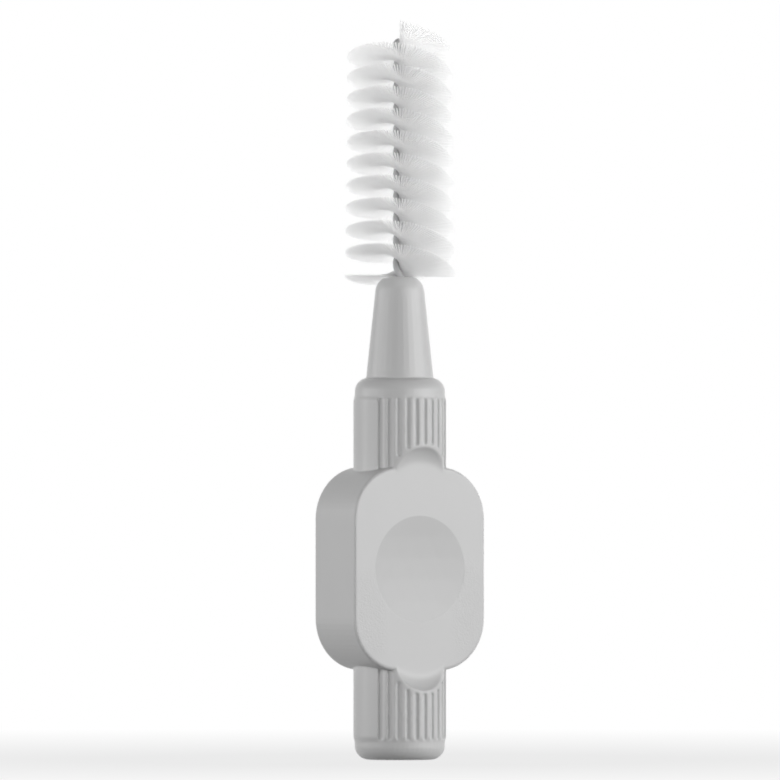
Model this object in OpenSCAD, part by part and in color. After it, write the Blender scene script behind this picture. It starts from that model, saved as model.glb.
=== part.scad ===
// Interdental brush: a moulded handle that holds a folded, twisted wire with bristles.
// The foot's end face is centred on the origin, the wire runs up +Z, and the grip's faces look along Y.

/* [Barrels] */
// Diameter of the two round barrels, over their ribs
barrel_d = 6.3; // [5.8:0.05:7.5]
// How far each barrel stands out past the grip plate
barrel_reach = 6.05; // [4.5:0.05:9]
// Diameter of the plain collars at the foot and at the shoulder
collar_d = 6.1; // [5.6:0.05:7]
// Length of each plain collar, its rounded edge included
collar_l = 1.24; // [1:0.02:2.4]
// Length of the slope from each collar up to its barrel
collar_slope_l = 0.26; // [0.06:0.02:0.4]
// Radius of the rounded edge at the foot and at the shoulder
collar_edge_r = 0.95; // [0.2:0.05:1]
// Number of grooves across each face of a barrel
groove_n = 11; // [3:2:11]
// Angle from one groove to the next, about the barrel's axis
groove_turn = 11.2; // [8:0.1:11.6]
// Width of a groove
groove_w = 0.24; // [0.1:0.02:0.34]
// Depth of a groove, measured inward from the barrel
groove_depth = 0.15; // [0.06:0.01:0.3]

/* [Grip plate] */
// Width of the grip plate
grip_w = 10.5; // [9:0.1:14]
// Height of the grip plate
grip_h = 13.7; // [11:0.1:18]
// Thickness of the grip plate
grip_t = 5; // [3.8:0.1:5.6]
// Radius of the plate's four corners
grip_corner_r = 3.5; // [1.5:0.1:4.4]
// Rounding of the plate's edges
grip_edge_r = 0.2; // [0.1:0.05:0.9]
// Radius of the shallow round dish on each face
dish_r = 3.6; // [2:0.1:4]
// Depth of the dish at its middle
dish_depth = 0.12; // [0.05:0.01:0.25]
// How far the middle of each scoop lies inside the plate's end
scoop_inset = 2.8; // [1.4:0.1:2.8]
// How much wider than the barrel's cut each side of a scoop's floor is
scoop_margin = 1.1; // [0.1:0.05:1.2]
// Length of the curved slope from a scoop's floor up to its rim
scoop_slope_l = 1.15; // [0.7:0.05:1.8]
// Width of the plain lip that ends the grooves around each scoop
scoop_lip = 0.2; // [0.1:0.05:0.6]

/* [Neck] */
// Height of the neck above the shoulder
neck_h = 6.85; // [5:0.05:10]
// Diameter of the neck at the shoulder
neck_d = 4.55; // [3.8:0.05:5.4]
// Diameter that the neck's taper has at the height of its tip
neck_tip_d = 3.1; // [2.8:0.05:3.6]
// Rounding of the neck's tip
neck_tip_r = 1.05; // [0.3:0.05:1.1]

/* [Wire] */
// Diameter of the steel wire
steel_d = 0.3; // [0.2:0.01:0.32]
// Thickness of the coating on the wire
coating_t = 0.07; // [0.03:0.01:0.09]
// Width of the space between the two legs of the wire, where the bristles are pinched
pinch_gap = 0.06; // [0.06:0.01:0.12]
// Lay length of the wire at the fold, which one full turn of its twist takes up there
lay_top_l = 2.835; // [2.6:0.005:3.6]
// Lay length of the wire at the lowest bristles
lay_low_l = 3.065; // [2.6:0.005:3.6]
// Length of twisted wire that is buried in the neck
wire_buried_l = 10; // [5:0.5:14]
// Clearance between the twisted pair and its bore
bore_clearance = 0.02; // [0.01:0.01:0.1]
// Room under the wire's cut ends at the bottom of the bore
bore_end_room = 0.15; // [0.12:0.01:0.5]

/* [Bristles] */
// Length of wire that carries bristles
brush_l = 15.56; // [12:0.02:20]
// Height of the lowest bristles above the tip of the neck
brush_lift = 0.03; // [0.01:0.01:1]
// Diameter across the lowest bristles
brush_low_d = 7.5; // [5:0.02:9]
// Diameter across the topmost bristles
brush_top_d = 7.08; // [4:0.02:9]
// Thickness of one bristle, which is square
bristle_t = 0.038; // [0.02:0.002:0.04]
// Distance from one bristle to the next along the wire
bristle_spacing = 0.0505; // [0.05:0.0005:0.1]
// Compass angle of the topmost bristles, seen from above
brush_turn = 237; // [0:1:359]
// Compass angle toward which the bristles tip up
tip_up_turn = 237; // [0:1:359]
// How far the lowest bristles tip up, in degrees
tip_up_low = 19; // [0:0.5:25]
// How far the topmost bristles tip up, in degrees
tip_up_top = 25; // [0:0.5:25]
// Thickness of the packed middles of the bristles
packed_t = 0.07; // [0.06:0.002:0.074]
// Width of the packed middles of the bristles
packed_w = 0.3; // [0.2:0.02:0.36]

/* [Hidden] */
$fn = 96;

fan_n = 11;
arc_steps = 8;
wire_sides = 6;
rings_per_turn = 12;
fold_steps = 8;
overrun = 1;

barrel_r = barrel_d / 2;
collar_r = collar_d / 2;
shoulder_z = 2 * barrel_reach + grip_h;
grip_mid_z = shoulder_z / 2;
face_y = grip_t / 2;

scoop_rise = barrel_r - face_y;
scoop_floor_r = sqrt(barrel_r * barrel_r - face_y * face_y) + scoop_margin;
scoop_r = scoop_floor_r + scoop_slope_l;
scoop_bend = 2 * atan(scoop_rise / scoop_slope_l);
scoop_bend_r = scoop_slope_l / sin(scoop_bend);
barrel_l = barrel_reach + scoop_inset;
groove_low_z = collar_l + collar_slope_l / 2;

neck_top_z = shoulder_z + neck_h;
neck_slope = (neck_d - neck_tip_d) / 2 / neck_h;
neck_lean = atan(neck_slope);

coated_r = steel_d / 2 + coating_t;
leg_r = coated_r + pinch_gap / 2;
pair_r = leg_r + coated_r;
bore_r = pair_r + bore_clearance;

brush_z = neck_top_z + brush_lift;
fan_l = brush_l / fan_n;
bristles_per_fan = round(fan_l / bristle_spacing);
bristle_step = fan_l / bristles_per_fan;
fold_room = bristle_t;
fold_z = brush_z + brush_l + fold_room;
ease_l = coated_r;
wire_low_z = neck_top_z - wire_buried_l;
leg_rings = ceil(twist_at(fold_z - wire_low_z) / 360 * rings_per_turn);

// Points along an arc about [x, y], from angle a to angle b
function arc(x, y, r, a, b) = [
    for (i = [0:arc_steps])
        let (t = a + (b - a) * i / arc_steps)
            [x + r * cos(t), y + r * sin(t)]
];

// Length of full twist in the wire's top d. It slows to a stop over the last ease_l below the fold.
function twisted_l(d) = d < ease_l ? d * d / ease_l / 2 : d - ease_l / 2;

// Degrees of twist per unit of length, after a length l of full twist
function twist_rate(l) = 360 * between(1 / lay_top_l, 1 / lay_low_l, l / brush_l);

// How far the twist has turned, d below the fold
function twist_at(d) = (twist_rate(0) + twist_rate(twisted_l(d))) / 2 * twisted_l(d);

// Compass angle of the bristles that are pinched at height z
function turn_at(z) = brush_turn + twist_at(fold_z - z);

// How steeply the twist turns at height z, in radians per unit of height
function turning_at(z) =
    let (d = fold_z - z)
    -twist_rate(twisted_l(d)) * min(1, d / ease_l) * PI / 180;

function unit(v) = v / norm(v);

// The value that lies this share of the way from a to b
function between(a, b, share) = a + (b - a) * share;

// A barrel with its end face at z = 0, before its cuts
module plain_barrel() {
    rotate_extrude()
        polygon(concat(
            [[0, 0]],
            arc(collar_r - collar_edge_r, collar_edge_r, collar_edge_r, -90, 0),
            [[collar_r, collar_l], [barrel_r, collar_l + collar_slope_l], [barrel_r, barrel_l], [0, barrel_l]]
        ));
}

// How high the barrel stands over the grip's face at x, and 0 where it stands no higher
function barrel_rise(x) = max(0, sqrt(barrel_r * barrel_r - x * x) - face_y);

// Distance of a scoop's rim from its middle, at x
function rim_r(x) =
    let (rise = barrel_rise(x))
    scoop_floor_r + sqrt(rise * (2 * scoop_bend_r - rise));

// Height at which the groove at x ends: at the lip around the scoop, or else in the end of the plate
function groove_top_z(x) =
    let (
        near = max(0, abs(x) - groove_w / 2),
        lip_z = barrel_l - sqrt(max(0, pow(rim_r(near) + scoop_lip, 2) - near * near)),
        plate_z = barrel_reach + grip_edge_r
    )
    barrel_rise(near) > 0 ? min(lip_z, plate_z) : plate_z;

// The grooves of both faces, cut straight along Y down to one round floor
module groove_cutters() {
    difference() {
        for (i = [0:groove_n - 1]) {
            x = barrel_r * sin((i - (groove_n - 1) / 2) * groove_turn);
            translate([x - groove_w / 2, -barrel_r - overrun, groove_low_z])
                cube([groove_w, barrel_d + 2 * overrun, groove_top_z(x) - groove_low_z]);
        }
        cylinder(r = barrel_r - groove_depth, h = barrel_l);
    }
}

// The round pocket that ends a barrel on one face of the grip, its floor level with that face
module scoop_cutter() {
    translate([0, face_y, barrel_l])
        rotate([-90, 0, 0])
            rotate_extrude()
                polygon(concat(
                    [[0, 0]],
                    arc(scoop_floor_r, scoop_bend_r, scoop_bend_r, -90, scoop_bend - 90),
                    [[scoop_r, scoop_rise + overrun], [0, scoop_rise + overrun]]
                ));
}

module barrel() {
    difference() {
        plain_barrel();
        groove_cutters();
        scoop_cutter();
        mirror([0, 1, 0])
            scoop_cutter();
    }
}

// A rectangle with round corners, centred on the origin
module rounded_rectangle(w, h, r) {
    x = w / 2 - r;
    y = h / 2 - r;
    polygon(concat(
        arc(x, y, r, 0, 90),
        arc(-x, y, r, 90, 180),
        arc(-x, -y, r, 180, 270),
        arc(x, -y, r, 270, 360)
    ));
}

// One corner of the grip plate: the plate's rim turned about the corner's centre
module grip_corner() {
    translate([grip_w / 2 - grip_corner_r, 0, grip_h / 2 - grip_corner_r])
        rotate([90, 0, 0])
            rotate_extrude()
                intersection() {
                    rounded_rectangle(2 * grip_corner_r, grip_t, grip_edge_r);
                    translate([0, -grip_t / 2])
                        square([grip_corner_r, grip_t]);
                }
}

module grip_plate() {
    translate([0, 0, grip_corner_r - grip_h / 2])
        linear_extrude(grip_h - 2 * grip_corner_r)
            rounded_rectangle(grip_w, grip_t, grip_edge_r);
    translate([grip_corner_r - grip_w / 2, 0, 0])
        rotate([90, 0, 90])
            linear_extrude(grip_w - 2 * grip_corner_r)
                rounded_rectangle(grip_t, grip_h, grip_edge_r);
    for (x = [0, 1], z = [0, 1])
        mirror([x, 0, 0])
            mirror([0, 0, z])
                grip_corner();
}

// The shallow dish on one face, cut by a large ball
module dish_cutter() {
    ball_r = (dish_r * dish_r + dish_depth * dish_depth) / dish_depth / 2;
    translate([0, face_y - dish_depth + ball_r, 0])
        sphere(ball_r);
}

module neck() {
    base_r = neck_d / 2;
    round_z = neck_h - neck_tip_r;
    round_x = base_r - neck_slope * round_z - neck_tip_r / cos(neck_lean);
    rotate_extrude()
        polygon(concat(
            [[0, -overrun], [base_r, -overrun], [base_r, 0]],
            arc(round_x, round_z, neck_tip_r, neck_lean, 90),
            [[0, neck_h]]
        ));
}

module handle() {
    bore_l = wire_buried_l + bore_end_room;
    color("whitesmoke")
        difference() {
            union() {
                barrel();
                translate([0, 0, shoulder_z])
                    mirror([0, 0, 1])
                        barrel();
                translate([0, 0, grip_mid_z])
                    difference() {
                        grip_plate();
                        dish_cutter();
                        mirror([0, 1, 0])
                            dish_cutter();
                    }
                translate([0, 0, shoulder_z])
                    neck();
            }
            translate([0, 0, neck_top_z - bore_l])
                cylinder(r = bore_r, h = bore_l + overrun);
        }
}

// The wire's stations, each [centre, outward direction, direction of travel]:
// up one leg of the twist, round the fold and down the other leg
function leg_station(side, z) =
    let (
        a = turn_at(z) + 90 * side,
        out = [cos(a), sin(a), 0],
        along = [-sin(a), cos(a), 0] * leg_r * turning_at(z) + [0, 0, 1]
    )
    [out * leg_r + [0, 0, z], out, unit(along) * side];

function fold_station(t) =
    let (
        a = turn_at(fold_z) + 90,
        level = [cos(a), sin(a), 0],
        out = level * cos(t) + [0, 0, sin(t)]
    )
    [out * leg_r + [0, 0, fold_z], out, [0, 0, cos(t)] - level * sin(t)];

function wire_stations() =
    let (step = (fold_z - wire_low_z) / leg_rings)
    concat(
        [for (i = [0:leg_rings - 1]) leg_station(1, wire_low_z + i * step)],
        [for (i = [0:fold_steps]) fold_station(180 * i / fold_steps)],
        [for (i = [leg_rings - 1:-1:0]) leg_station(-1, wire_low_z + i * step)]
    );

// Rings of points about the wire's stations, with flat sides toward the other leg
function tube_points(r) = [
    for (s = wire_stations(), i = [0:wire_sides - 1])
        let (t = (i + 1 / 2) * 360 / wire_sides)
            s[0] + r * (s[1] * cos(t) + cross(s[2], s[1]) * sin(t))
];

// Triangles over the side of a tube of n rings whose first point has the number first
function tube_sides(n, first = 0) = [
    for (k = [0:n - 2], i = [0:wire_sides - 1], half = [0, 1])
        let (
            a = first + k * wire_sides,
            b = a + wire_sides,
            j = (i + 1) % wire_sides
        )
        half == 0 ? [a + i, b + i, b + j] : [a + i, b + j, a + j]
];

function flipped(faces) = [for (f = faces) [f[2], f[1], f[0]]];

module steel_wire() {
    n = len(wire_stations());
    last = (n - 1) * wire_sides;
    color("silver")
        polyhedron(tube_points(steel_d / 2), concat(
            tube_sides(n),
            [for (i = [1:wire_sides - 2]) [0, i, i + 1]],
            [for (i = [1:wire_sides - 2]) [last, last + i + 1, last + i]]
        ));
}

module wire_coating() {
    n = len(wire_stations());
    last = (n - 1) * wire_sides;
    inner = n * wire_sides;
    low_rim = [
        for (i = [0:wire_sides - 1], half = [0, 1])
            let (j = (i + 1) % wire_sides)
                half == 0 ? [i, j, inner + j] : [i, inner + j, inner + i]
    ];
    color("dimgray")
        polyhedron(concat(tube_points(coated_r), tube_points(steel_d / 2)), concat(
            tube_sides(n),
            flipped(tube_sides(n, inner)),
            low_rim,
            flipped([for (f = low_rim) f + [last, last, last]])
        ));
}

// Share of the brush's length at height z: 0 at the lowest bristles and 1 at the topmost
function brush_share(z) = (z - brush_z) / brush_l;

// How steeply the bristles at height z tip up, as rise over run
function tip_up_slope(z) = tan(between(tip_up_low, tip_up_top, brush_share(z)));

// Direction of the bristle at height z, one unit long when seen from above
function bristle_way(z) =
    let (a = turn_at(z))
    [cos(a), sin(a), tip_up_slope(z) * cos(a - tip_up_turn)];

// Direction square to the tipped plane in which the bristle at height z lies
function plane_up(z) =
    unit([0, 0, 1] - [cos(tip_up_turn), sin(tip_up_turn), 0] * tip_up_slope(z));

// Height at which bristle i is pinched, in the group that starts at z
function bristle_z(z, i) = z + (i + 1 / 2) * bristle_step;

// Four corners about p: a rectangle that reaches half of u and half of v to either side
function corners(p, u, v) = [p - (u + v) / 2, p + (u - v) / 2, p + (u + v) / 2, p - (u - v) / 2];

// Triangles over n sections of four points each, and over the two ends
function bar_faces(n) = concat(
    [
        for (k = [0:n - 2], i = [0:3], half = [0, 1])
            let (
                a = 4 * k,
                b = a + 4,
                j = (i + 1) % 4
            )
            half == 0 ? [a + i, b + i, b + j] : [a + i, b + j, a + j]
    ],
    [[0, 1, 2], [0, 2, 3]],
    [[4 * n - 4, 4 * n - 2, 4 * n - 3], [4 * n - 4, 4 * n - 1, 4 * n - 2]]
);

// One bristle, straight through between the wire's legs, with both its ends
module bristle(z) {
    way = bristle_way(z);
    up = plane_up(z);
    side = unit(cross(up, way));
    reach = between(brush_low_d, brush_top_d, brush_share(z)) / 2;
    root = [0, 0, z];
    polyhedron(
        concat(
            corners(root - way * reach, side * bristle_t, up * bristle_t),
            corners(root + way * reach, side * bristle_t, up * bristle_t)
        ),
        bar_faces(2)
    );
}

// The packed middles of a group's bristles: a twisted strip whose every level lies along its bristle
module packed_middles(z) {
    levels = concat([z], [for (i = [0:bristles_per_fan - 1]) bristle_z(z, i)], [z + fan_l]);
    polyhedron(
        [
            for (level = levels)
                let (
                    way = bristle_way(level),
                    side = unit(cross(plane_up(level), way))
                )
                each corners([0, 0, level], way * packed_w, side * packed_t)
        ],
        bar_faces(len(levels))
    );
}

module bristle_fan(index) {
    fan_z = brush_z + index * fan_l;
    color("white") {
        packed_middles(fan_z);
        for (i = [0:bristles_per_fan - 1])
            bristle(bristle_z(fan_z, i));
    }
}

handle();
steel_wire();
wire_coating();
bristle_fan(0);  // bristle_fan_01
bristle_fan(1);  // bristle_fan_02
bristle_fan(2);  // bristle_fan_03
bristle_fan(3);  // bristle_fan_04
bristle_fan(4);  // bristle_fan_05
bristle_fan(5);  // bristle_fan_06
bristle_fan(6);  // bristle_fan_07
bristle_fan(7);  // bristle_fan_08
bristle_fan(8);  // bristle_fan_09
bristle_fan(9);  // bristle_fan_10
bristle_fan(10);  // bristle_fan_11
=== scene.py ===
import math
import random

import bmesh
import bpy
from mathutils import Matrix, Vector


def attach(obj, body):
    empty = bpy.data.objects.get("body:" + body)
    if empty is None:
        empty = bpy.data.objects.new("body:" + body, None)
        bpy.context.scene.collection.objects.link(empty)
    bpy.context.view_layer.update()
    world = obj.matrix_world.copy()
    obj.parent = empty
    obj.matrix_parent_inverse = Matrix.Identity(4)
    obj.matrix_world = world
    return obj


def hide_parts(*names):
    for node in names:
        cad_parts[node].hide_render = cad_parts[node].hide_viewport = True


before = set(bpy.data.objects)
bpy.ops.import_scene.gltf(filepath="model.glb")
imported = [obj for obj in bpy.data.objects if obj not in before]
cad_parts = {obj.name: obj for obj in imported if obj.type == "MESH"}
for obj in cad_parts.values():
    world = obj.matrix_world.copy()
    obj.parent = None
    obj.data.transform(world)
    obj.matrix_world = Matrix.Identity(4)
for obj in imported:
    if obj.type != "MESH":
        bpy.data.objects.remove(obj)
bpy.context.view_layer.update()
mm = 0.001
scene = bpy.context.scene
scene.view_settings.view_transform = "Standard"
scene.cycles.filter_width = 1.9  # pixels, a little soft, as in the photograph
scene.cycles.max_bounces = 16
scene.cycles.diffuse_bounces = 12  # light passes from filament to filament many times
print("frame loaded,", len(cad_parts), "nodes")


# Meshes and objects

def meshOf(bm, name):
    mesh = bpy.data.meshes.new(name)
    bm.to_mesh(mesh)
    bm.free()
    return mesh


def placed(name, data):
    thing = bpy.data.objects.new(name, data)
    scene.collection.objects.link(thing)
    return thing


def evaluated(draft):
    # the mesh with its modifiers applied, without the object
    mesh = bpy.data.meshes.new_from_object(draft.evaluated_get(bpy.context.evaluated_depsgraph_get()))
    bpy.data.objects.remove(draft)
    return mesh


def newPiece(name, mesh, material, slotName, *replaced):
    mesh.name = name
    mesh.materials.clear()
    mesh.materials.append(material)
    mesh.shade_smooth()
    piece = placed(name, mesh)
    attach(piece, "root")
    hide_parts(*replaced)
    return piece


def blend(first, last, share):
    return first + (last - first) * share


# Shader nodes

def nodeTree(owner):
    owner.use_nodes = True
    tree = owner.node_tree
    tree.nodes.clear()
    return tree


def put(tree, kind, **settings):
    node = tree.nodes.new(kind)
    for key, value in settings.items():
        if key in node.inputs:
            node.inputs[key].default_value = value
        else:
            setattr(node, key, value)
    return node


def feed(tree, value, socket):
    # a number is set, and the output of another node is linked
    if isinstance(value, (int, float)):
        socket.default_value = value
    else:
        tree.links.new(value, socket)


def calculated(tree, operation, *values):
    node = put(tree, "ShaderNodeMath", operation=operation)
    for socket, value in zip(node.inputs, values):
        feed(tree, value, socket)
    return node.outputs[0]


def ramped(tree, value, low, high, lowResult=0.0, highResult=1.0, shape="SMOOTHSTEP"):
    # lowResult up to low, highResult from high on, and a ramp between them
    limits = {"From Min": low, "From Max": high, "To Min": lowResult, "To Max": highResult}
    step = put(tree, "ShaderNodeMapRange", interpolation_type=shape, **limits)
    tree.links.new(value, step.inputs["Value"])
    return step.outputs["Result"]


def grey(tone):
    return (tone, tone, tone, 1)


def toned(tree, value, first, last):
    # the first colour where the value is 0, the last where it is 1
    ramp = put(tree, "ShaderNodeValToRGB")
    ramp.color_ramp.elements[0].color = first
    ramp.color_ramp.elements[1].color = last
    tree.links.new(value, ramp.inputs["Fac"])
    return ramp.outputs["Color"]


def noisy(tree, perMm, detail):
    place = put(tree, "ShaderNodeTexCoord")
    noise = put(tree, "ShaderNodeTexNoise", Scale=perMm / mm, Detail=detail)
    tree.links.new(place.outputs["Object"], noise.inputs["Vector"])
    return noise.outputs["Fac"]


def mixed(tree, share, first, second):
    # the first shader where the share is 0, the second where it is 1
    mix = put(tree, "ShaderNodeMixShader")
    feed(tree, share, mix.inputs[0])
    tree.links.new(first.outputs[0], mix.inputs[1])
    tree.links.new(second.outputs[0], mix.inputs[2])
    return mix


def toSurface(tree, shader, kind="ShaderNodeOutputMaterial"):
    out = put(tree, kind)
    tree.links.new(shader.outputs[0], out.inputs["Surface"])


def eyeRays(tree):
    # 1 for what the camera sees, straight, in gloss or through nylon, and 0 for what lights the object
    path = put(tree, "ShaderNodeLightPath")
    seen = path.outputs["Is Camera Ray"]
    for name in ("Is Glossy Ray", "Is Transmission Ray"):
        seen = calculated(tree, "MAXIMUM", seen, path.outputs[name])
    return seen


# Camera

photoView = {
    "azimuth": -33.0,  # degrees, the camera stands to the left of the front
    "aimHeight": 24.97,  # mm, at the middle of the picture
    "aimLeft": 0.66,  # mm, the axis stands right of the middle
    "pictureWidth": 780,  # pixels
    "pixelsPerMm": 14.8,  # at the axis
    "lens": 900.0,  # mm, so long that the view is nearly parallel
    "nearest": 0.01,  # m from the camera
    "furthest": 20.0,  # m from the camera
}

azimuth = math.radians(photoView["azimuth"])
back = Vector((math.sin(azimuth), -math.cos(azimuth), 0))  # from the object toward the camera
right = Vector((-back.y, back.x, 0))  # to the right in the picture
cameraData = bpy.data.cameras.new("photoCamera")
cameraData.lens = photoView["lens"]
cameraData.clip_start = photoView["nearest"]
cameraData.clip_end = photoView["furthest"]
fieldWidth = photoView["pictureWidth"] / photoView["pixelsPerMm"]
distance = photoView["lens"] * fieldWidth / cameraData.sensor_width * mm
aside = right * photoView["aimLeft"] * mm
upward = Vector((0, 0, photoView["aimHeight"] * mm))
camera = placed("photoCamera", cameraData)
camera.location = back * distance - aside + upward
camera.rotation_mode = "QUATERNION"
camera.rotation_quaternion = (-back).to_track_quat("-Z", "Y")
scene.camera = camera


# Light

studioLight = {
    "aimHeight": 0.025,  # m, half way up the object
    "behindFrom": 120,  # degrees from the camera, lamps further round give no gloss and so no bright rims
    "room": 0.02,  # share of plain white that comes from all round
}
softboxes = {
    # name: (turn to the right of the camera, height angle, distance m, width m, height m, watts)
    "rightFront": (42, 7, 0.42, 0.20, 0.16, 0.56),
    "rightSide": (66, 7, 0.42, 0.20, 0.16, 0.78),
    "rightRear": (90, 7, 0.42, 0.12, 0.16, 0.29),
    "leftFront": (-43, 7, 0.42, 0.20, 0.16, 0.22),
    "leftSide": (-65, 7, 0.42, 0.12, 0.16, 0.44),
    "leftRear": (-95, 7, 0.42, 0.12, 0.16, 0.47),
    "backRight": (162, 10, 0.42, 0.16, 0.18, 1.0),
    "backLeft": (-162, 10, 0.42, 0.16, 0.18, 0.7),
}


def hangSoftbox(name, turn, rise, away, wide, high, watts):
    lampData = bpy.data.lights.new(name, "AREA")
    lampData.shape = "RECTANGLE"
    lampData.size = wide
    lampData.size_y = high
    lampData.energy = watts
    angle = math.radians(turn)
    way = (back * math.cos(angle) + right * math.sin(angle)) * math.cos(math.radians(rise))
    way += Vector((0, 0, math.sin(math.radians(rise))))
    lamp = placed(name, lampData)
    lamp.location = Vector((0, 0, studioLight["aimHeight"])) + way * away
    lamp.rotation_mode = "QUATERNION"
    lamp.rotation_quaternion = way.to_track_quat("Z", "Y")
    lamp.visible_glossy = abs(turn) < studioLight["behindFrom"]


for lampName, settings in softboxes.items():
    hangSoftbox(lampName, *settings)

world = bpy.data.worlds.new("studio")
scene.world = world
worldTree = nodeTree(world)
room = put(worldTree, "ShaderNodeBackground", Color=grey(1), Strength=studioLight["room"])
white = put(worldTree, "ShaderNodeBackground", Color=grey(1), Strength=1.0)
toSurface(worldTree, mixed(worldTree, eyeRays(worldTree), room, white), "ShaderNodeOutputWorld")


# Floor

floorLook = {
    "radius": 2.5,  # m
    "sides": 96,
    "colour": 0.3,
    "seenWhite": 0.8,  # share of plain white that the eye sees close to the object
    "fade": (0.02, 0.12),  # m from the axis, over which that share grows to all
}


def studioPaper():
    # the paper shows its shadow close to the object and is plain white further out
    material = bpy.data.materials.new("studioPaper")
    tree = nodeTree(material)
    place = put(tree, "ShaderNodeTexCoord")
    reach = put(tree, "ShaderNodeVectorMath", operation="LENGTH")
    tree.links.new(place.outputs["Object"], reach.inputs[0])
    near, far = floorLook["fade"]
    whiteness = ramped(tree, reach.outputs["Value"], near, far, floorLook["seenWhite"], 1.0, "LINEAR")
    share = calculated(tree, "MULTIPLY", eyeRays(tree), whiteness)
    matt = put(tree, "ShaderNodeBsdfDiffuse", Color=grey(floorLook["colour"]))
    plain = put(tree, "ShaderNodeEmission", Color=grey(1), Strength=1.0)
    toSurface(tree, mixed(tree, share, matt, plain))
    return material


bm = bmesh.new()
bmesh.ops.create_circle(bm, cap_ends=True, segments=floorLook["sides"], radius=floorLook["radius"])
floor = placed("floor", meshOf(bm, "floor"))
floor.data.materials.append(studioPaper())
print("camera, softboxes and floor")


# Plastic of the handle

gripFinish = {
    "colour": 0.54,
    "roughness": 0.43,
    "driftTones": (0.98, 1.02),  # shares of the colour, between which it drifts
    "driftPerMm": 0.3,
    "middle": 12.9,  # mm up the handle
    "faceOut": 2.25,  # mm from the axis, just under the faces and their dishes' floors
    "faceSoft": 0.05,  # mm, over which the faces' finish begins
    "dishRadius": 3.58,  # mm
    "dishOutside": 0.05,  # mm that the soft edge of the dish's tone reaches outside that radius
    "dishInside": 0.03,  # mm that it reaches inside
    "dishTone": 0.85,  # share of the colour
    "dishRoughness": 0.38,
    "padInside": 2.3,  # mm from the axis, where the grained pads begin
    "padLow": -6.2,  # mm from the middle
    "padHigh": 1.6,  # mm from the middle
    "padSideFade": 0.8,  # mm, over which the pads begin
    "padLowFade": 1.0,  # mm
    "padHighFade": 2.5,  # mm
    "skinGrain": 0.03,  # share of the grain's depth, all over the handle
    "padGrain": 1.0,  # share that is added on the pads
    "grainSize": 0.11,  # mm
    "grainDepth": 0.02,  # mm
    "grainDetail": 3.0,
}
driftDetail = 2.0


def greyPlastic():
    look = gripFinish
    material = bpy.data.materials.new("greyPlastic")
    tree = nodeTree(material)
    shader = put(tree, "ShaderNodeBsdfPrincipled")
    place = put(tree, "ShaderNodeTexCoord")
    split = put(tree, "ShaderNodeSeparateXYZ")
    tree.links.new(place.outputs["Object"], split.inputs[0])
    across = calculated(tree, "ABSOLUTE", split.outputs["X"])
    height = calculated(tree, "SUBTRACT", split.outputs["Z"], look["middle"] * mm)
    outward = calculated(tree, "ABSOLUTE", split.outputs["Y"])
    onFace = ramped(tree, outward, (look["faceOut"] - look["faceSoft"]) * mm, look["faceOut"] * mm)

    # the dish is a disc round the middle of each face
    squares = [calculated(tree, "POWER", offset, 2) for offset in (across, height)]
    fromMiddle = calculated(tree, "SQRT", calculated(tree, "ADD", *squares))
    outer = (look["dishRadius"] + look["dishOutside"]) * mm
    inner = (look["dishRadius"] - look["dishInside"]) * mm
    dish = calculated(tree, "MULTIPLY", ramped(tree, fromMiddle, outer, inner), onFace)

    # the pads are the low outer parts of each face, up to the dish
    beside = ramped(tree, across, look["padInside"] * mm, (look["padInside"] + look["padSideFade"]) * mm)
    above = ramped(tree, height, look["padLow"] * mm, (look["padLow"] + look["padLowFade"]) * mm)
    below = ramped(tree, height, look["padHigh"] * mm, (look["padHigh"] - look["padHighFade"]) * mm)
    pad = calculated(tree, "SUBTRACT", 1, dish)
    for part in (beside, above, below, onFace):
        pad = calculated(tree, "MULTIPLY", pad, part)

    grain = calculated(tree, "MULTIPLY_ADD", pad, look["padGrain"], look["skinGrain"])
    specks = calculated(tree, "MULTIPLY", noisy(tree, 1 / look["grainSize"], look["grainDetail"]), grain)
    bump = put(tree, "ShaderNodeBump", Strength=1.0, Distance=look["grainDepth"] * mm)
    tree.links.new(specks, bump.inputs["Height"])
    tree.links.new(bump.outputs["Normal"], shader.inputs["Normal"])

    drift = noisy(tree, look["driftPerMm"], driftDetail)
    plain = toned(tree, drift, *(grey(look["colour"] * tone) for tone in look["driftTones"]))
    colour = put(tree, "ShaderNodeMix", data_type="RGBA")
    plainSocket, dishSocket, colourResult = colour.inputs[6], colour.inputs[7], colour.outputs[2]
    tree.links.new(dish, colour.inputs["Factor"])
    tree.links.new(plain, plainSocket)
    dishSocket.default_value = grey(look["colour"] * look["dishTone"])
    tree.links.new(colourResult, shader.inputs["Base Color"])
    dishChange = look["dishRoughness"] - look["roughness"]
    roughness = calculated(tree, "MULTIPLY_ADD", dish, dishChange, look["roughness"])
    tree.links.new(roughness, shader.inputs["Roughness"])
    toSurface(tree, shader)
    return material


# Handle

handleFinish = {
    "mergeWithin": 0.0008,  # mm
    "voxel": 0.045,  # mm
    "softening": 4,  # passes of smoothing, all over
    "ribSoftening": 14,  # more passes at the ribs, where the photograph is softer still
    "ribZones": ((0.9, 6.0), (19.8, 25.0)),  # mm up the handle
    "softFactor": 0.5,  # how far one pass goes
    "kept": 0.17,  # share of the triangles
}


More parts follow.
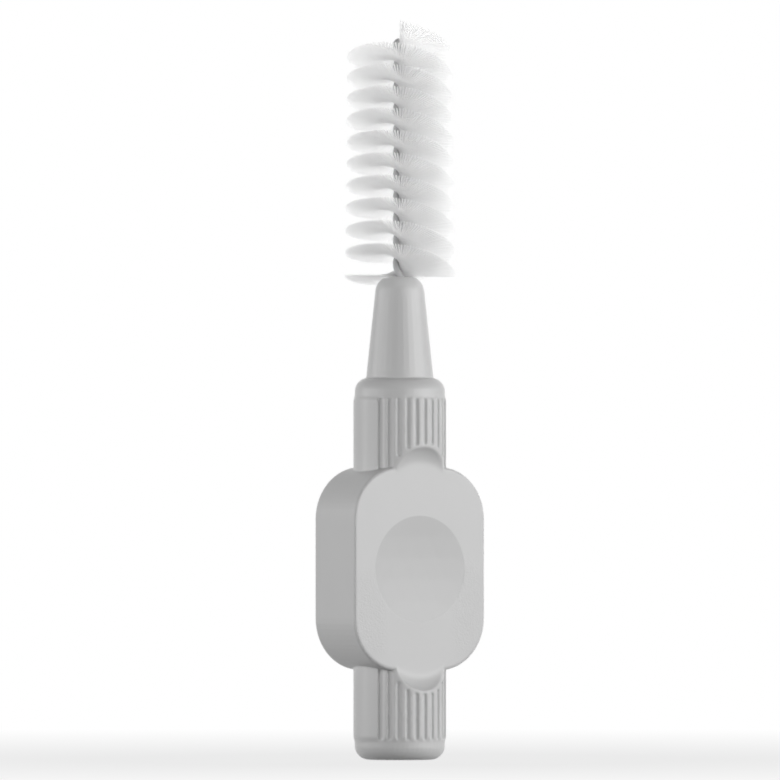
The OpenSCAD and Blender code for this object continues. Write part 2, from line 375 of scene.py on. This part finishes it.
def softHandle():
    # a merged and softened copy of the CAD handle, worked in mm
    look = handleFinish
    bm = bmesh.new()
    bm.from_mesh(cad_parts["handle"].data)
    bmesh.ops.scale(bm, vec=(1 / mm,) * 3, verts=bm.verts)
    bmesh.ops.remove_doubles(bm, verts=bm.verts, dist=look["mergeWithin"])
    draft = placed("handleDraft", meshOf(bm, "handleDraft"))
    remesh = draft.modifiers.new("remesh", "REMESH")
    remesh.mode = "VOXEL"
    remesh.voxel_size = look["voxel"]
    soften = draft.modifiers.new("soften", "SMOOTH")
    soften.factor = look["softFactor"]
    soften.iterations = look["softening"]
    mesh = evaluated(draft)

    bm = bmesh.new()
    bm.from_mesh(mesh)
    axes = {"use_axis_x": True, "use_axis_y": True, "use_axis_z": True}
    for low, high in look["ribZones"]:
        ribs = [v for v in bm.verts if low < v.co.z < high]
        for _ in range(look["ribSoftening"]):
            bmesh.ops.smooth_vert(bm, verts=ribs, factor=look["softFactor"], **axes)
    bm.to_mesh(mesh)
    bm.free()

    draft = placed("handleDraft", mesh)
    thin = draft.modifiers.new("thin", "DECIMATE")
    thin.ratio = look["kept"]
    mesh = evaluated(draft)
    mesh.transform(Matrix.Scale(mm, 4))
    return mesh


handlePiece = newPiece("greyHandle", softHandle(), greyPlastic(), "handle", "handle")
print("handle,", len(handlePiece.data.polygons), "faces")


# Steel and coating of the wire

steelFinish = {
    "dark": (0.50, 0.50, 0.52, 1),
    "pale": (0.62, 0.62, 0.63, 1),
    "driftPerMm": 4,
    "roughness": 0.3,
    "metallic": 1.0,
}
coatingFinish = {
    "dark": (0.39, 0.39, 0.395, 1),
    "pale": (0.45, 0.45, 0.455, 1),
    "driftPerMm": 6,
    "roughness": 0.5,
    "metallic": 0.0,
}


def driftingMaterial(name, look):
    # a finish whose colour drifts softly between two tones
    material = bpy.data.materials.new(name)
    tree = nodeTree(material)
    shader = put(tree, "ShaderNodeBsdfPrincipled", Roughness=look["roughness"], Metallic=look["metallic"])
    colour = toned(tree, noisy(tree, look["driftPerMm"], driftDetail), look["dark"], look["pale"])
    tree.links.new(colour, shader.inputs["Base Color"])
    toSurface(tree, shader)
    return material


# the steel is inside the coating, and stays the CAD piece
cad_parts["steel_wire"].data.materials.clear()
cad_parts["steel_wire"].data.materials.append(driftingMaterial("drawnSteel", steelFinish))


# Twisted wire

wireShape = {
    "coatedRadius": 0.22,  # mm
    "legRadius": 0.25,  # mm from the axis to the middle of each leg
    "topLay": 2.835,  # mm to a turn, at the fold
    "lowLay": 3.065,  # mm to a turn, at the lowest bristles
    "layLength": 15.56,  # mm between these two
    "foldHeight": 48.278,  # mm, where the legs end and the fold begins
    "foldTurn": 237,  # degrees from +X, the way that the gap between the legs faces there
    "foldSteps": 10,
    "lowEnd": 22.65,  # mm, inside the neck
    "stepsPerTurn": 24,
    "roundness": 4,  # bevel resolution, which gives 12 sides
}


def twistAt(below):
    # the lay grows evenly from the fold down, and the twist slows to a stop just under the fold
    ease = wireShape["coatedRadius"]
    twisted = below * below / ease / 2 if below < ease else below - ease / 2
    topRate = 360 / wireShape["topLay"]
    lowRate = 360 / wireShape["lowLay"]
    return (topRate + (lowRate - topRate) * twisted / wireShape["layLength"] / 2) * twisted


def turnAt(z):
    return math.radians(wireShape["foldTurn"] + twistAt(wireShape["foldHeight"] - z))


def wirePath():
    # up one leg, over the fold and down the other leg
    low, fold, radius = wireShape["lowEnd"], wireShape["foldHeight"], wireShape["legRadius"]
    steps = round(twistAt(fold - low) / 360 * wireShape["stepsPerTurn"])
    up = []
    for i in range(steps + 1):
        z = low + (fold - low) * i / steps
        angle = turnAt(z) + math.pi / 2
        up.append(Vector((math.cos(angle) * radius, math.sin(angle) * radius, z)))
    top = up[-1].copy()
    top.z = 0
    over = []
    for i in range(1, wireShape["foldSteps"]):
        angle = math.pi * i / wireShape["foldSteps"]
        over.append(top * math.cos(angle) + Vector((0, 0, fold + radius * math.sin(angle))))
    down = [Vector((-p.x, -p.y, p.z)) for p in reversed(up)]
    return up + over + down


curve = bpy.data.curves.new("wireCourse", "CURVE")
curve.dimensions = "3D"
curve.bevel_depth = wireShape["coatedRadius"] * mm
curve.bevel_resolution = wireShape["roundness"]
curve.use_fill_caps = True
course = wirePath()
spline = curve.splines.new("POLY")
spline.points.add(len(course) - 1)
for point, place in zip(spline.points, course):
    point.co = (*(place * mm), 1)
wireMesh = evaluated(placed("wireCourse", curve))
coating = driftingMaterial("greyCoating", coatingFinish)
wirePiece = newPiece("coatedWire", wireMesh, coating, "coating", "wire_coating")
print("wire,", len(wirePiece.data.polygons), "faces")


# Nylon of the bristles

nylonFinish = {
    # painted light and shade: the nylon is painted lighter near the roots, where the dense filaments shade
    # each other, and darker toward the tips
    "rootPaintedLight": 0.997,
    "tipPaintedShade": 0.98,
    "rootRadius": 0.3,  # mm from the axis
    "tipRadius": 3.6,  # mm from the axis
    "roughness": 0.4,
    "depth": 0.4,  # mm that light spreads inside
    "through": 0.5,  # share of the light that passes
}


def whiteNylon():
    look = nylonFinish
    material = bpy.data.materials.new("whiteNylon")
    tree = nodeTree(material)
    place = put(tree, "ShaderNodeTexCoord")
    flat = put(tree, "ShaderNodeVectorMath", operation="MULTIPLY")
    flat.inputs[1].default_value = (1, 1, 0)
    away = put(tree, "ShaderNodeVectorMath", operation="LENGTH")
    tree.links.new(place.outputs["Object"], flat.inputs[0])
    tree.links.new(flat.outputs[0], away.inputs[0])
    root, tip = look["rootRadius"] * mm, look["tipRadius"] * mm
    # painted light near the axis that fades into painted shade toward the filaments' ends
    along = ramped(tree, away.outputs["Value"], root, tip, shape="LINEAR")
    colour = toned(tree, along, grey(look["rootPaintedLight"]), grey(look["tipPaintedShade"]))
    spread = {
        "Subsurface Weight": 1.0,
        "Subsurface Radius": (1, 1, 1),
        "Subsurface Scale": look["depth"] * mm,
    }
    solid = put(tree, "ShaderNodeBsdfPrincipled", Roughness=look["roughness"], **spread)
    thin = put(tree, "ShaderNodeBsdfTranslucent")
    tree.links.new(colour, solid.inputs["Base Color"])
    tree.links.new(colour, thin.inputs["Color"])
    toSurface(tree, mixed(tree, look["through"], solid, thin))
    return material


# Bristles

brushShape = {
    "low": 32.68,  # mm up the object
    "length": 15.56,  # mm
    "lowReach": 3.75,  # mm from the axis to a filament's end
    "topReach": 3.54,  # mm
    "lowTip": 19,  # degrees that the filaments' planes tip up
    "topTip": 25,  # degrees
    "tipTurn": 237,  # degrees from +X, the side toward which they tip up
    "filaments": 592,
    "fans": 11,
    "width": 0.11,  # mm
    "sides": 5,
    "seed": 7,
    "angleSpread": 0.1,  # degrees
    "tipSpread": 0.05,  # degrees
    "reachSpread": 0.003,  # share of the reach
    "bendSpread": 0.004,  # mm at a filament's end
}
# along one filament, from end to end: place as a share of its reach, and width as a share of its full width
filamentSections = [
    (-1, 0.45), (-0.975, 0.85), (-0.88, 1), (-0.4, 1),
    (0.4, 1), (0.88, 1), (0.975, 0.85), (1, 0.45),
]


def filamentTemplate():
    bm = bmesh.new()
    turned = Matrix.Rotation(math.pi / 2, 4, "Y")
    place, width = filamentSections[0]
    circle = {"cap_ends": True, "segments": brushShape["sides"], "radius": 1, "matrix": turned}
    ring = bmesh.ops.create_circle(bm, **circle)["verts"]
    bmesh.ops.scale(bm, vec=(1, width, width), verts=ring)
    bmesh.ops.translate(bm, vec=(place, 0, 0), verts=ring)
    edges = list(bm.edges)
    for nextPlace, nextWidth in filamentSections[1:]:
        made = bmesh.ops.extrude_edge_only(bm, edges=edges)["geom"]
        ring = [g for g in made if isinstance(g, bmesh.types.BMVert)]
        edges = [g for g in made if isinstance(g, bmesh.types.BMEdge)]
        bmesh.ops.scale(bm, vec=(1, nextWidth / width, nextWidth / width), verts=ring)
        bmesh.ops.translate(bm, vec=(nextPlace - place, 0, 0), verts=ring)
        place, width = nextPlace, nextWidth
    bmesh.ops.contextual_create(bm, geom=edges)
    bmesh.ops.recalc_face_normals(bm, faces=bm.faces)
    return meshOf(bm, "filament")


def levelWay(angle):
    return Vector((math.cos(angle), math.sin(angle), 0))


def addFilament(fan, share):
    # one filament at its share of the brush's length, through the gap between the wire's legs
    shape = brushShape
    z = shape["low"] + share * shape["length"]
    way = levelWay(turnAt(z) + math.radians(chance.gauss(0, shape["angleSpread"])))
    toward = levelWay(math.radians(shape["tipTurn"]))
    tip = blend(shape["lowTip"], shape["topTip"], share)
    slope = math.tan(math.radians(tip + chance.gauss(0, shape["tipSpread"])))
    way.z = slope * way.dot(toward)
    up = (Vector((0, 0, 1)) - toward * slope).normalized()
    side = up.cross(way).normalized()
    reach = blend(shape["lowReach"], shape["topReach"], share)
    half = shape["width"] / 2

    # each end has a small bend to the side, a small bend up and a reach of its own
    bends = [chance.gauss(0, shape["bendSpread"]) for _ in range(4)]
    ends = [1 - abs(chance.gauss(0, shape["reachSpread"])) for _ in range(2)]
    known = len(fan.verts)
    fan.from_mesh(filament)
    fan.verts.ensure_lookup_table()
    for v in fan.verts[known:]:
        end = int(v.co.x > 0)
        sideBend, upBend = bends[2 * end:2 * end + 2]
        x = v.co.x * ends[end]
        across = v.co.y * half + sideBend * x * x
        rise = v.co.z * half + upBend * x * x
        v.co = way * x * reach + side * across + up * rise
        v.co.z += z
        v.co *= mm


filament = filamentTemplate()
chance = random.Random(brushShape["seed"])
fans = [bmesh.new() for _ in range(brushShape["fans"])]
for i in range(brushShape["filaments"]):
    share = (i + 0.5) / brushShape["filaments"]
    addFilament(fans[int(share * brushShape["fans"])], share)

nylon = whiteNylon()
for index, fan in enumerate(fans, 1):
    newPiece(f"bristles{index:02d}", meshOf(fan, "bristles"), nylon, "bristle", f"bristle_fan_{index:02d}")
bpy.data.meshes.remove(filament)
print("bristles,", brushShape["filaments"], "filaments")
